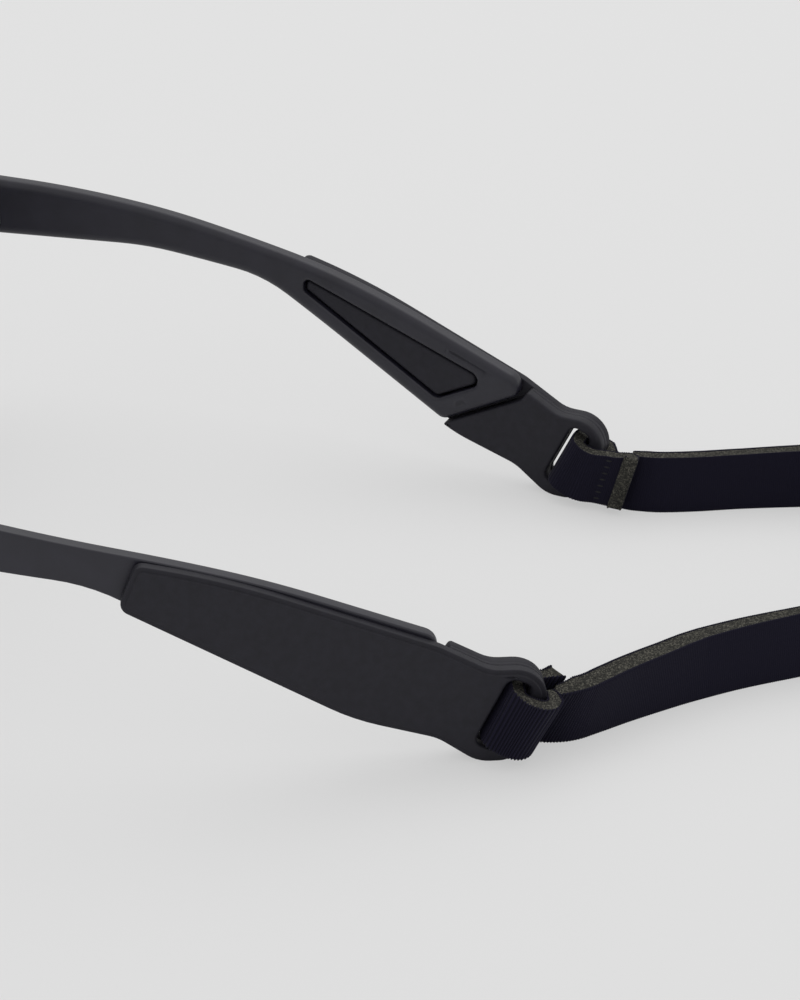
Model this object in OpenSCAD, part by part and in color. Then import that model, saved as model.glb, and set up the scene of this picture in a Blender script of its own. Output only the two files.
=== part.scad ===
// Sports sunglasses: wraparound half-rim front, one-piece lens, folding arms with a triangular
// window in each broad tip, clip-on strap adapters and an elastic head strap.
// +X is the wearer's left, the wearer looks along -Y, +Z is up, and the glasses stand on z = 0.

/* [Arms] */
// Distance from the lens's side edge out to the arm's mid-plane at the hinge
side_gap = 8.4; // [7.4:0.2:9.4]
// Height of the arm's lower edge above the table at the hinge
arm_low_h = 41.5; // [39.5:0.1:43]
// Height of the arm at the hinge
arm_root_h = 13; // [12:0.1:14]
// Thickness of the arm
arm_t = 3.2; // [2.8:0.1:3.6]
// Distance along Y from the hinge axis to the front corner of the strap slot
arm_run = 131; // [128:0.5:134]
// Inward angle of the arm just behind the hinge
toe_front = 3; // [2:0.5:4]
// Inward angle of the arm's straight rear half
toe_rear = 15; // [13:0.5:17]
// Distance from the hinge to where the arm starts to bend inward
bend_start = 38; // [32:0.5:40]
// Radius of the inward bend
bend_r = 230; // [200:5:235]
// Inside clearance left round the boss in the arm's window
window_gap = 0.5; // [0.3:0.05:0.8]

/* [Strap adapters] */
// Thickness of the adapter's outer plate
plate_t = 2; // [1.6:0.1:2.4]
// Width of the rim round the outer plate's face
rim_w = 0.95; // [0.7:0.05:1.2]
// Height of the face above its rim
rim_step = 0.2; // [0.1:0.05:0.5]
// Depth of the boss's end face below the arm's inner face
boss_recess = 0.4; // [0.2:0.1:0.8]
// Lean of the strap slot from the vertical
slot_lean = 25.5; // [22:0.5:27]
// Width of the strap slot across the strap
slot_w = 4.8; // [4.4:0.1:5]
// Length of the strap slot
slot_l = 14.6; // [13.8:0.1:15]
// Width of the rear bar that the strap turns round
bar_w = 3.7; // [3.3:0.1:4.1]
// Air gap between flat faces that touch on the real object
seat_gap = 0.1; // [0.05:0.01:0.15]

/* [Strap] */
// Width of the strap
strap_w = 12.8; // [12:0.1:13]
// Thickness of the strap
strap_t = 3; // [2.6:0.1:3.1]
// Slack between the rear bar and the sewn seam, on the left
slack_left = 0.3; // [0.3:0.1:1.2]
// Slack between the rear bar and the sewn seam, on the right
slack_right = 4.8; // [4:0.1:5.5]
// Number of stitches in each sewn seam
stitch_n = 7; // [5:1:9]

/* [Front] */
// Radius of the lens's outer face
lens_r = 92; // [89:0.5:95]
// Thickness of the lens
lens_t = 2.2; // [1.8:0.1:2.6]
// Distance from the hinge axis forward to the front of the lens
wrap_depth = 37; // [35:0.5:39]
// Height of the lens's widest bulge above its lower edge
bulge_h = 27; // [24:0.5:30]
// Half width of the lens
lens_half_w = 63; // [61.5:0.5:64]
// Depth of the groove that holds the lens's top edge
groove_depth = 3.5; // [2.5:0.1:4]
// Height of the nose cut-out's arch above the table
nose_h = 27; // [24:0.5:29]
// Half width of the nose cut-out at its foot
nose_half_w = 15; // [14:0.5:17]
// Wall thickness of the nose bridge
bridge_t = 1.8; // [1.5:0.1:2.2]
// Thickness of each nose pad
pad_t = 2.4; // [2:0.1:3]

/* [Hinges] */
// Outer radius of the hinge knuckles
knuckle_r = 1.7; // [1.5:0.05:1.9]
// Radius of the hinge screw
screw_r = 0.7; // [0.6:0.05:0.8]
// Running clearance of the hinge screw in the arm's knuckle, on the radius
screw_fit = 0.04; // [0.02:0.01:0.08]
// Thickness of each hinge leaf
leaf_t = 0.8; // [0.6:0.05:1]
// Length of each hinge leaf behind or in front of the axis
leaf_l = 5.2; // [5:0.1:5.6]
// Height of each front knuckle
front_knuckle_h = 2.4; // [2:0.1:2.8]
// Height of the arm's knuckle
arm_knuckle_h = 3.8; // [3.4:0.1:4.2]
// Radius of the rivets that hold the leaves
rivet_r = 0.6; // [0.5:0.05:0.7]

/* [Hidden] */
$fn = 48;

// Each outline corner is [across, up, corner radius]
tip_turn = 12;
wide_r = 20;

function unit(v) = v / norm(v);
function flat(v) = [v[0], v[1]];
function at(list, i) = list[(i + len(list)) % len(list)];
function turned(v) = [-v[1], v[0]];
function cross2(a, b) = a[0] * b[1] - a[1] * b[0];

// Arc of radius r that rounds corner b between a and c
function round_corner(a, b, c, r) =
  let(
    p = unit(a - b),
    q = unit(c - b),
    half = acos(max(-1, min(1, p * q))) / 2,
    middle = b + unit(p + q) * r / sin(half),
    first = b + p * r / tan(half) - middle,
    sweep = (180 - 2 * half) * sign(cross2(b - a, c - b)),
    steps = r > wide_r ? 6 : max(3, ceil(abs(sweep) / tip_turn))
  )
  [for (i = [0:steps])
    let(t = sweep * i / steps)
    middle + [first[0] * cos(t) - first[1] * sin(t), first[0] * sin(t) + first[1] * cos(t)]];

// Outline with its corners rounded, from corners [across, up, radius]
function rounded(corners) =
  [for (i = [0:len(corners) - 1])
    let(
      a = flat(at(corners, i - 1)),
      b = flat(at(corners, i)),
      c = flat(at(corners, i + 1)),
      r = corners[i][2]
    )
    each (r > 0 ? round_corner(a, b, c, r) : [b])];

// The same corners moved inward by d, for an outline that runs anticlockwise
function inset(corners, d) =
  [for (i = [0:len(corners) - 1])
    let(
      a = flat(at(corners, i - 1)),
      b = flat(at(corners, i)),
      c = flat(at(corners, i + 1)),
      p = turned(unit(b - a)),
      q = turned(unit(c - b)),
      r = corners[i][2],
      side = sign(cross2(b - a, c - b))
    )
    [b[0] + d * (p + q)[0] / (1 + p * q), b[1] + d * (p + q)[1] / (1 + p * q),
      r > 0 ? max(0.2, r - d * side) : 0]];

function mirrored(corners) =
  [for (i = [len(corners) - 1:-1:0]) [-corners[i][0], corners[i][1], corners[i][2]]];

// Plan of the arm: straight behind the hinge, a wide bend, then straight to the tip
bend_end = bend_start + bend_r * (sin(toe_rear) - sin(toe_front));
hinge_half_w = lens_half_w + side_gap;
bend_x = hinge_half_w - bend_start * tan(toe_front);
straight_x = bend_x - bend_r * (cos(toe_front) - cos(toe_rear));
tip_x = straight_x - (arm_run - bend_end) * tan(toe_rear);

function arm_toe(s) =
  s <= bend_start ? toe_front
  : s >= bend_end ? toe_rear
  : asin(sin(toe_front) + (s - bend_start) / bend_r);
function arm_x(s) =
  s <= bend_start ? hinge_half_w - s * tan(toe_front)
  : s >= bend_end ? straight_x - (s - bend_end) * tan(toe_rear)
  : bend_x - bend_r * (cos(toe_front) - cos(arm_toe(s)));
function arm_point(s, off) =
  [arm_x(s) + off * cos(arm_toe(s)), hinge_y + s + off * sin(arm_toe(s))];

// Slot for the strap, leaning back with the rear bar, in the tip's own frame: rearward and up
slot_foot = [-2.4, 4.1];
slot_r = 1.7;
slot_up = [sin(slot_lean), cos(slot_lean)];
slot_back = [cos(slot_lean), -sin(slot_lean)];
bar_back = slot_w + bar_w;
function in_slot(across, up) = slot_foot + across * slot_back + up * slot_up;
function slot_corner(across, up) = [in_slot(across, up)[0], in_slot(across, up)[1], slot_r];
slot_corners = [
  slot_corner(0, 0), slot_corner(slot_w, 0), slot_corner(slot_w, slot_l), slot_corner(0, slot_l)
];
// Point of the bar's rear edge at a height above the table
function bar_edge(height) =
  in_slot(bar_back, (height - in_slot(bar_back, 0)[1]) / slot_up[1]);
hump_h = 18.9;
bar_foot = bar_edge(0);
bar_head = bar_edge(hump_h);

// Outer plate of the adapter
plate_corners = [
  [-63.6, 34.4, 2.2],
  [-23.6, 10, 40],
  [-8.8, 5.4, 9],
  [-1.6, 0, 7],
  [bar_foot[0], 0, 4.5],
  [bar_head[0], hump_h, 6],
  [0.6, hump_h, 7],
  [-8.6, 24.2, 12],
  [-45.6, 39.3, 150],
  [-60.2, 42.8, 1.8]
];
// Rear end of the arm and its window
window_corners = [
  [-58.7, 36.2, 1.2],
  [-27.3, 17, 2],
  [-14.9, 23.3, 2],
  [-58.4, 39.4, 1.2]
];
end_top = [-8.1, 24.9];
end_rear = [-9, 21.2];
end_low = [-25.9, 12.2];
// Inner layer of the adapter, just behind the arm's end and level with the arm's inner face
notch_w = 1.7;
notch_deep = 2.7;
layer_gap = 0.7;
layer_past = 5;
end_way = unit(end_rear - end_low);
end_out = [end_way[1], -end_way[0]];
layer_low = end_low + layer_gap * end_out - layer_past * end_way;
layer_rear = end_rear + layer_gap * end_out;
layer_corners = [
  [layer_low[0], layer_low[1], 0],
  [layer_low[0], -layer_past, 0],
  [bar_head[0] + layer_past, -layer_past, 0],
  [bar_head[0] + layer_past, hump_h + layer_past, 0],
  [end_top[0] + notch_w, hump_h + layer_past, 0],
  [end_top[0] + notch_w, end_top[1] - notch_deep, 1],
  [layer_rear[0] + layer_gap, layer_rear[1], 1.5]
];

// Layers across the arm, outward from its mid-plane
inner_face = -arm_t / 2;
outer_face = arm_t / 2;
plate_low = outer_face + seat_gap;
plate_top = plate_low + plate_t;

// The object is centred over its own length
plate_rear = max([for (p = rounded(plate_corners)) p[0]]);
rear_reach = plate_rear * cos(toe_rear) + plate_top * sin(toe_rear);
hinge_y = (wrap_depth - arm_run - rear_reach) / 2;
tip_y = hinge_y + arm_run;

// Side view of the arm: distance behind the hinge, height
function behind(u) = arm_run + u * cos(toe_rear);
arm_top_h = arm_low_h + arm_root_h;
butt_gap = 0.15;
// Height of the arm's two bend corners over the front corners of its window
low_rail = 1.6;
top_rail = 0.5;
arm_corners = [
  [butt_gap, arm_low_h, 0.8],
  [bend_start, arm_low_h + 0.3, 80],
  [65, window_corners[0][1] + low_rail, 30],
  [behind(end_low[0]), end_low[1], 2.2],
  [behind(end_rear[0]), end_rear[1], 2],
  [behind(end_top[0]), end_top[1], 3.2],
  [87, window_corners[3][1] + top_rail, 200],
  [30.6, arm_top_h - 1.8, 250],
  [butt_gap, arm_top_h, 0.8]
];

// Places something drawn rearward and up in the tip's own frame, extruded outward
module tip_frame() {
  translate([tip_x, tip_y, 0])
    rotate([0, 0, toe_rear])
      rotate([90, 0, 90])
        children();
}

module tip_layer(points, low, high) {
  tip_frame()
    translate([0, 0, low])
      linear_extrude(high - low)
        polygon(points);
}

module temple(mirrored_side = 0) {
  steps = 12;
  stations = [
    0,
    for (i = [0:steps]) bend_start + (bend_end - bend_start) * i / steps,
    arm_run
  ];
  last = len(stations) - 1;
  mirror([mirrored_side, 0, 0])
    color([0.14, 0.14, 0.16])
      difference() {
        intersection() {
          translate([0, hinge_y, 0])
            rotate([90, 0, 90])
              linear_extrude(hinge_half_w * 1.5)
                polygon(rounded(arm_corners));
          linear_extrude(arm_low_h + 2 * arm_root_h)
            polygon([
              for (i = [0:last]) arm_point(stations[i], outer_face),
              for (i = [last:-1:0]) arm_point(stations[i], inner_face)
            ]);
        }
        tip_layer(rounded(window_corners), inner_face - 1, outer_face + 1);
        knuckle_relief();
        rivet_holes(1);
      }
}

module adapter(mirrored_side = 0) {
  slot = rounded(slot_corners);
  mirror([mirrored_side, 0, 0])
    color([0.15, 0.155, 0.165])
      difference() {
        union() {
          tip_layer(rounded(plate_corners), plate_low, plate_top - rim_step);
          tip_layer(rounded(inset(plate_corners, rim_w)), plate_low, plate_top);
          intersection() {
            tip_layer(rounded(layer_corners), inner_face, plate_top - rim_step);
            tip_layer(rounded(plate_corners), inner_face, plate_top - rim_step);
          }
          tip_layer(rounded(inset(window_corners, window_gap)),
            inner_face + boss_recess, plate_top - rim_step);
        }
        tip_layer(slot, inner_face - 1, plate_top + 1);
      }
}

// The strap's sewn loop, in a plan square to the slot's rear bar: rearward, outward
loop_gap = 0.3;
half_t = strap_t / 2;
in_n = inner_face - loop_gap - half_t;
out_n = plate_top + loop_gap + half_t;
pass_at = slot_w - loop_gap - half_t;
seam_left = bar_back + slack_left + half_t;
seam_right = bar_back + slack_right + half_t;
// In through the slot from the inner side and out to the bar's outer side
slot_turn = [
  [slot_w + 1.6, in_n],
  [pass_at + 0.2, in_n + 1.2],
  [pass_at, (in_n + out_n) / 2],
  [pass_at + 0.2, out_n - 1.2],
  [slot_w + 1.4, out_n + 0.2]
];
// The left loop is sewn tight to its bar and the tail's cut end curls in toward the head
left_route = concat(
  [
    [seam_left - 0.2, in_n - 3],
    [seam_left - 0.4, in_n - 1.5],
    [seam_left - 1.8, in_n - 0.1]
  ],
  slot_turn,
  [
    [seam_left - 1.9, out_n + 0.5],
    [seam_left - 0.5, out_n - 0.6],
    [seam_left + 0.1, out_n - 2.8],
    [seam_left, in_n + strap_t - 0.8]
  ]
);
// The right loop is sewn slacker: its legs lie together behind the bar and its tail curls less
right_route = concat(
  [
    [seam_right + 0.9, in_n - 1.6],
    [seam_right + 0.1, in_n - 0.8],
    [seam_right - 1.3, in_n - 0.2],
    [seam_right - 4, in_n]
  ],
  slot_turn,
  [
    [bar_back, out_n],
    [bar_back + 1.9, out_n - 1.7],
    [bar_back + 3.4, in_n + strap_t + 1.7],
    [bar_back + 5, in_n + strap_t + 0.8],
    [seam_right, in_n + strap_t + 0.6]
  ]
);

// Smooth curve through points, with a number of steps between each two
function curve_point(a, b, c, d, t) =
  0.5 * (2 * b + (c - a) * t + (2 * a - 5 * b + 4 * c - d) * t * t
    + (3 * b - a - 3 * c + d) * t * t * t);
function smooth(points, steps) =
  let(last = len(points) - 1)
  concat(
    [for (i = [0:last - 1], j = [0:steps - 1])
      curve_point(
        i == 0 ? 2 * points[0] - points[1] : points[i - 1],
        points[i],
        points[i + 1],
        i + 1 == last ? 2 * points[last] - points[last - 1] : points[i + 2],
        j / steps)],
    [points[last]]
  );

// Ribbon of a given thickness along a line in plan
function line_way(line, i) =
  unit(line[min(i + 1, len(line) - 1)] - line[max(i - 1, 0)]);
function ribbon(line, thick) =
  let(last = len(line) - 1)
  concat(
    [for (i = [0:last]) line[i] + turned(line_way(line, i)) * thick / 2],
    [for (i = [last:-1:0]) line[i] - turned(line_way(line, i)) * thick / 2]
  );

// Turns a plan of the loop, rearward and outward, into the tip's leaning bar frame
module bar_frame() {
  tip_frame()
    translate([slot_foot[0], slot_foot[1], 0])
      rotate([0, 0, -slot_lean])
        rotate([-90, 0, 0])
          mirror([0, 1, 0])
            children();
}

strap_clear = (slot_l - strap_w) / 2;
strap_low = 0.1;
strap_reach = 2 * strap_w;

module strap_loop(mirrored_side = 0) {
  mirror([mirrored_side, 0, 0])
    color([0.11, 0.1, 0.13])
      intersection() {
        bar_frame()
          translate([0, 0, strap_clear])
            linear_extrude(strap_w)
              polygon(ribbon(smooth(mirrored_side ? right_route : left_route, 4), strap_t));
        translate([0, 0, strap_low])
          linear_extrude(strap_reach)
            translate([0, tip_y - strap_w])
              square([tip_x + strap_reach, 2 * strap_reach]);
      }
}

stitch_r = 0.35;
stitch_l = 1.6;
stitch_back = 3.9;

module strap_seam(mirrored_side = 0) {
  pitch = strap_w / (stitch_n + 1);
  seam = mirrored_side ? seam_right : seam_left;
  mirror([mirrored_side, 0, 0])
    color([0.08, 0.08, 0.1])
      bar_frame()
        for (i = [1:stitch_n])
          translate([seam - stitch_back, in_n - half_t - stitch_r - 2 * seat_gap, strap_clear + i * pitch])
            rotate([0, 90, 0])
              cylinder(r = stitch_r, h = stitch_l);
}

// Route of the strap between the two seams, in plan from the tips' line, left to right
strap_route = [
  [46.8, 8.4], [45.2, 12], [42.8, 15.6], [39.2, 19.2], [34.6, 24.4], [28, 33], [20.5, 43],
  [13, 53], [6, 64], [-1, 75], [-10, 84.5], [-21, 90], [-33, 90.5], [-43.5, 86], [-51, 77.5],
  [-54.6, 66.5], [-55, 56], [-53, 45], [-49.6, 34.5], [-46.8, 25], [-45.7, 18.5],
  [-45.3, 14], [-45.1, 11.7]
];

// Everything in front of a seam, which the band's end stops at
module seam_side(seam) {
  bar_frame()
    translate([seam + half_t + loop_gap - strap_reach, -strap_w, -strap_w])
      cube([strap_reach, 2 * strap_w, 3 * strap_w]);
}

module strap_band() {
  color([0.11, 0.1, 0.13])
    difference() {
      translate([0, tip_y, strap_low])
        linear_extrude(strap_w)
          polygon(ribbon(smooth(strap_route, 3), strap_t));
      seam_side(seam_left);
      mirror([1, 0, 0])
        seam_side(seam_right);
    }
}

// Hinge: an axis just inside the arm's inner face, leaves on the inner faces
leaf_face = hinge_half_w + inner_face;
axis_in = 0.4;
axis_x = leaf_face - leaf_t - axis_in;
arm_leaf_face = (hinge_half_w - axis_x) * cos(toe_front) + inner_face;
hinge_mid_h = (arm_low_h + arm_top_h) / 2;
knuckle_gap = 0.1;
knuckles_h = 2 * front_knuckle_h + arm_knuckle_h + 2 * knuckle_gap;
knuckles_low = hinge_mid_h - knuckles_h / 2;
relief_gap = 0.25;
notch_r = knuckle_r + knuckle_gap;
leaf_trim = 1;
leaf_h = 2 * front_knuckle_h + arm_knuckle_h - leaf_trim;
thread_gap = 0.02;
screw_head_lip = 0.6;
screw_head_r = screw_r + screw_head_lip;
screw_head_h = 0.6;
rivet_l = 1.8;
head_lip = 0.5;
rivet_head_r = rivet_r + head_lip;
rivet_head_h = 0.4;
rivet_edge = 1.8;
rivet_at = leaf_l - rivet_edge;
rivet_margin = 1.6;
rivet_rise = leaf_h / 2 - rivet_margin;

// Behind the axis for the arm's leaf, in front of it for the front's leaf
module at_axis(way) {
  turn = way > 0 ? toe_front : 0;
  translate([axis_x, hinge_y, hinge_mid_h])
    rotate([0, 0, turn])
      children();
}

// Groove for the knuckles, open at the top so that the screw can be driven in
module knuckle_relief() {
  translate([axis_x, hinge_y, knuckles_low - relief_gap])
    cylinder(r = knuckle_r + relief_gap, h = arm_root_h);
}

// Holes for the two rivets of one leaf, behind the axis or in front of it
module rivet_holes(way) {
  face = way > 0 ? arm_leaf_face : leaf_face - axis_x;
  at_axis(way)
    for (z = [-rivet_rise, rivet_rise])
      translate([face - leaf_t - 1, way * rivet_at, z])
        rotate([0, 90, 0])
          cylinder(r = rivet_r + seat_gap / 2, h = leaf_t + 1 + rivet_l + seat_gap);
}

module rivets(way) {
  face = way > 0 ? arm_leaf_face : leaf_face - axis_x;
  at_axis(way)
    for (z = [-rivet_rise, rivet_rise])
      translate([face, way * rivet_at, z])
        rotate([0, 90, 0])
          union() {
            translate([0, 0, -leaf_t])
              cylinder(r = rivet_r, h = leaf_t + rivet_l);
            translate([0, 0, -leaf_t - rivet_head_h])
              cylinder(r = rivet_head_r, h = rivet_head_h);
          }
}

module ring_z(r, low, high) {
  translate([0, 0, low])
    cylinder(r = r, h = high - low);
}

// Front leaf: plate with a knuckle at its top and its foot
module front_leaf(mirrored_side = 0) {
  mid = arm_knuckle_h / 2 + knuckle_gap;
  end = knuckles_h / 2;
  mirror([mirrored_side, 0, 0])
    color([0.3, 0.3, 0.32])
      difference() {
        at_axis(-1)
          difference() {
            union() {
              translate([leaf_face - axis_x - leaf_t, -leaf_l, -leaf_h / 2])
                cube([leaf_t, leaf_l, leaf_h]);
              ring_z(knuckle_r, mid, end);
              ring_z(knuckle_r, -end, -mid);
            }
            ring_z(notch_r, -mid, mid);
            ring_z(screw_r + thread_gap, -end - 1, end + 1);
          }
        rivet_holes(-1);
      }
}

// Arm's leaf: plate with one knuckle between the front's two
module temple_leaf(mirrored_side = 0) {
  mid = arm_knuckle_h / 2;
  end = knuckles_h / 2 + 1;
  mirror([mirrored_side, 0, 0])
    color([0.3, 0.3, 0.32])
      difference() {
        at_axis(1)
          difference() {
            union() {
              difference() {
                translate([arm_leaf_face - leaf_t, 0, -leaf_h / 2])
                  cube([leaf_t, leaf_l, leaf_h]);
                ring_z(notch_r, mid, end);
                ring_z(notch_r, -end, -mid);
              }
              ring_z(knuckle_r, -mid, mid);
            }
            ring_z(screw_r + screw_fit, -end, end);
          }
        rivet_holes(1);
      }
}

module hinge_screw(mirrored_side = 0) {
  slot = [2 * screw_head_r + 1, 0.3, 0.3];
  mirror([mirrored_side, 0, 0])
    color([0.45, 0.45, 0.47])
      translate([axis_x, hinge_y, knuckles_low])
        difference() {
          union() {
            cylinder(r = screw_r, h = knuckles_h);
            translate([0, 0, knuckles_h])
              cylinder(r = screw_head_r, h = screw_head_h);
          }
          translate([-slot[0] / 2, -slot[1] / 2, knuckles_h + screw_head_h - slot[2]])
            cube([slot[0], slot[1], 1]);
        }
}

module temple_rivets(mirrored_side = 0) {
  mirror([mirrored_side, 0, 0])
    color([0.45, 0.45, 0.47])
      rivets(1);
}

module front_rivets() {
  color([0.45, 0.45, 0.47])
    for (side = [0, 1])
      mirror([side, 0, 0])
        rivets(-1);
}

// Lens: a slice of a ball, cut to its outline as seen from the front
front_y = hinge_y - wrap_depth;
lens_y = front_y + lens_r;
brow_rise = 5;
brow_low = arm_low_h + brow_rise;
brow_top = arm_top_h + brow_rise / 2;
lens_top = brow_low + groove_depth;
arch_half_w = 6.5;
lens_side = [
  [arch_half_w, nose_h, 6],
  [nose_half_w, 0, 3],
  [42, 0, 30],
  [lens_half_w - 3, 17, 20],
  [lens_half_w, 35, 8],
  [lens_half_w, arm_low_h + groove_depth, 2],
  [lens_half_w - 11, lens_top, 20]
];
lens_corners = concat(lens_side, mirrored(lens_side));

// Extrudes a front view forward from the hinge line
module front_view(points) {
  translate([0, hinge_y, 0])
    rotate([90, 0, 0])
      linear_extrude(wrap_depth + 5)
        polygon(points);
}

module lens_ball(r) {
  translate([0, lens_y, bulge_h])
    sphere(r = r, $fn = 180);
}

module lens_body(grow = 0) {
  intersection() {
    front_view(rounded(inset(lens_corners, -grow)));
    difference() {
      lens_ball(lens_r + grow);
      lens_ball(lens_r - lens_t - grow);
    }
  }
}

module shield_lens() {
  color([0.12, 0.13, 0.15, 0.75])
    lens_body();
}

// Front frame: a brow bar round the top of the lens and an end piece at each hinge
brow_wall = 1.5;
ring_out = sqrt(pow(lens_r, 2) - pow(brow_low - bulge_h, 2)) + brow_wall;
ring_in = sqrt(pow(lens_r - lens_t, 2) - pow(lens_top - bulge_h, 2)) - brow_wall;
end_x = hinge_half_w + outer_face;
pocket_gap = 0.8;
pocket_y = hinge_y - leaf_l - pocket_gap;
brow_side = [
  [lens_half_w - 11, brow_low, 18],
  [lens_half_w - 2, arm_low_h, 12],
  [end_x + 3, arm_low_h, 0],
  [end_x + 3, arm_top_h, 0],
  [50, brow_top, 60]
];
brow_corners = concat(brow_side, mirrored(brow_side));
shoulder_in = 5.5;
shoulder_x = lens_half_w - shoulder_in;
shoulder_lap = 1.5;
function ring_y(x, r) = lens_y - sqrt(r * r - x * x);
end_in = 7;
end_reach = 12.5;
end_corners = [
  [leaf_face, hinge_y, 0],
  [leaf_face, pocket_y, 1],
  [shoulder_x, min(pocket_y, ring_y(shoulder_x, ring_in)), 1],
  [shoulder_x - shoulder_lap, ring_y(shoulder_x - shoulder_lap, ring_in) - 1, 0],
  [shoulder_x - shoulder_lap, ring_y(shoulder_x - shoulder_lap, ring_out) + 0.5, 0],
  [end_x - end_in, hinge_y - end_reach, 14],
  [end_x + 0.2, hinge_y - 6, 5],
  [end_x, hinge_y, 0.6]
];

module brow_ring() {
  intersection() {
    translate([0, lens_y, 0])
      difference() {
        cylinder(r = ring_out, h = brow_top + 1, $fn = 180);
        translate([0, 0, -1])
          cylinder(r = ring_in, h = brow_top + 3, $fn = 180);
      }
    translate([-shoulder_x, front_y - 2 * brow_wall, 0])
      cube([2 * shoulder_x, wrap_depth, brow_top]);
  }
}

module front_frame() {
  color([0.13, 0.13, 0.15])
    difference() {
      intersection() {
        union() {
          brow_ring();
          for (side = [0, 1])
            mirror([side, 0, 0])
              linear_extrude(brow_top)
                polygon(rounded(end_corners));
        }
        front_view(rounded(brow_corners));
      }
      lens_body(seat_gap);
      for (side = [0, 1])
        mirror([side, 0, 0]) {
          knuckle_relief();
          rivet_holes(-1);
        }
    }
}

// Nose bridge: a saddle in the lens's nose cut-out, gripping the lens's edge
cut_slope = (nose_half_w - arch_half_w) / nose_h;
cut_foot = 6;
cut_corners = [
  [-nose_half_w - cut_foot * cut_slope, -cut_foot, 0],
  [nose_half_w + cut_foot * cut_slope, -cut_foot, 0],
  [arch_half_w, nose_h, 6],
  [-arch_half_w, nose_h, 6]
];
bridge_low = 5;
bridge_depth = 9;
grip_w = 1.8;
grip_t = 1.2;
pad_low = 7;
pad_high = 21;
pad_front = 3.5;
pad_depth = 8;

module cut_ring(out, in, low, high) {
  intersection() {
    difference() {
      polygon(rounded(inset(cut_corners, out)));
      polygon(rounded(inset(cut_corners, in)));
    }
    translate([-2 * nose_half_w, low])
      square([4 * nose_half_w, high - low]);
  }
}

// Extrudes a front view backward from a distance behind the lens's front
module front_slab(from, depth) {
  translate([0, front_y + from + depth, 0])
    rotate([90, 0, 0])
      linear_extrude(depth)
        children();
}

module nose_bridge() {
  inside = seat_gap + bridge_t;
  color([0.13, 0.13, 0.15])
    union() {
      front_slab(1.2, bridge_depth)
        cut_ring(seat_gap, inside, bridge_low, nose_h + 1);
      intersection() {
        front_slab(0, bridge_depth)
          cut_ring(-grip_w, inside, bridge_low, nose_h + 3);
        difference() {
          lens_ball(lens_r - lens_t - seat_gap);
          lens_ball(lens_r - lens_t - seat_gap - grip_t);
        }
      }
    }
}

module nose_pad(mirrored_side = 0) {
  inside = seat_gap + bridge_t;
  mirror([mirrored_side, 0, 0])
    color([0.17, 0.17, 0.18])
      front_slab(pad_front, pad_depth)
        intersection() {
          cut_ring(inside, inside + pad_t, pad_low, pad_high);
          translate([0, 0])
            square([2 * nose_half_w, nose_h]);
        }
}

front_frame();
shield_lens();
nose_bridge();
nose_pad();  // nose_pad_left
nose_pad(1);  // nose_pad_right
front_leaf();  // front_leaf_left
front_leaf(1);  // front_leaf_right
front_rivets();
hinge_screw();  // hinge_screw_left
hinge_screw(1);  // hinge_screw_right
temple_leaf();  // temple_leaf_left
temple_leaf(1);  // temple_leaf_right
temple_rivets();  // temple_rivets_left
temple_rivets(1);  // temple_rivets_right
temple();  // temple_left
temple(1);  // temple_right
adapter();  // adapter_left
adapter(1);  // adapter_right
strap_loop();  // strap_loop_left
strap_loop(1);  // strap_loop_right
strap_seam();  // strap_seam_left
strap_seam(1);  // strap_seam_right
strap_band();
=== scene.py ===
# Sports sunglasses with clip-on strap adapters and an elastic head strap.
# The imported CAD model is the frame; every piece below is fitted to it in metres.
import math

import bmesh
import bpy
from mathutils import Matrix, Vector
from mathutils.geometry import delaunay_2d_cdt


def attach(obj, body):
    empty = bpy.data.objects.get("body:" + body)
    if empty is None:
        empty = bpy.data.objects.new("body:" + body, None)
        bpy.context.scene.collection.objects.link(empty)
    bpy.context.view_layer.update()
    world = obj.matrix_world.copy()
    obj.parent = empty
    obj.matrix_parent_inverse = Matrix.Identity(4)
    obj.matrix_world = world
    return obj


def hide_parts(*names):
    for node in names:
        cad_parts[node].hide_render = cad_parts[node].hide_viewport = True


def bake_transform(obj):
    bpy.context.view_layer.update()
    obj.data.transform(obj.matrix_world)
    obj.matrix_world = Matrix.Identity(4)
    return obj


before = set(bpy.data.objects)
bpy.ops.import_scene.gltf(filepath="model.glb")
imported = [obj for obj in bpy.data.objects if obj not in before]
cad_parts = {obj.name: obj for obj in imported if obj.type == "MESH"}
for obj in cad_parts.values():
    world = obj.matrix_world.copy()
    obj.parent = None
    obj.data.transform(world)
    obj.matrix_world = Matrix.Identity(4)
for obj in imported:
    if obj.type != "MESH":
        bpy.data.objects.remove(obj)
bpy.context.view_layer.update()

# Studio: the glasses stand on a pale table under one broad soft lamp and an even sky, seen from
# the wearer's left and a little behind, looking down on the rear ends of the arms.
scene = bpy.context.scene
scene.view_settings.view_transform = "Standard"
CAMERA_AT = Vector((0.4344, 0.13312, 0.2608))
CAMERA_TURN, CAMERA_TILT = math.radians(10.32), math.radians(28.38)
LENS_MM, SENSOR_MM = 93.6, 36
TABLE_TONE, TABLE_GLOW_SHARE, TABLE_HALF_M = "#E1E1E1", 0.62, 4
LAMP_AT, LAMP_SIZE, LAMP_WATTS = Vector((-0.45, 0.10, 1.0)), 1.1, 4.0


def linear(tone):
    """Linear red, green, blue and alpha of an sRGB hex colour"""
    parts = [int(tone[i:i + 2], 16) / 255 for i in (1, 3, 5)]
    return [p / 12.92 if p <= 0.04045 else ((p + 0.055) / 1.055) ** 2.4 for p in parts] + [1.0]


def add_node(tree, kind, values=None, links=None, **facts):
    """Adds a node with its properties, the values of its sockets and what feeds them"""
    node = tree.nodes.new(kind)
    for name, value in facts.items():
        setattr(node, name, value)
    for name, value in (values or {}).items():
        node.inputs[name].default_value = value
    for name, source in (links or {}).items():
        tree.links.new(source, node.inputs[name])
    return node


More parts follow.
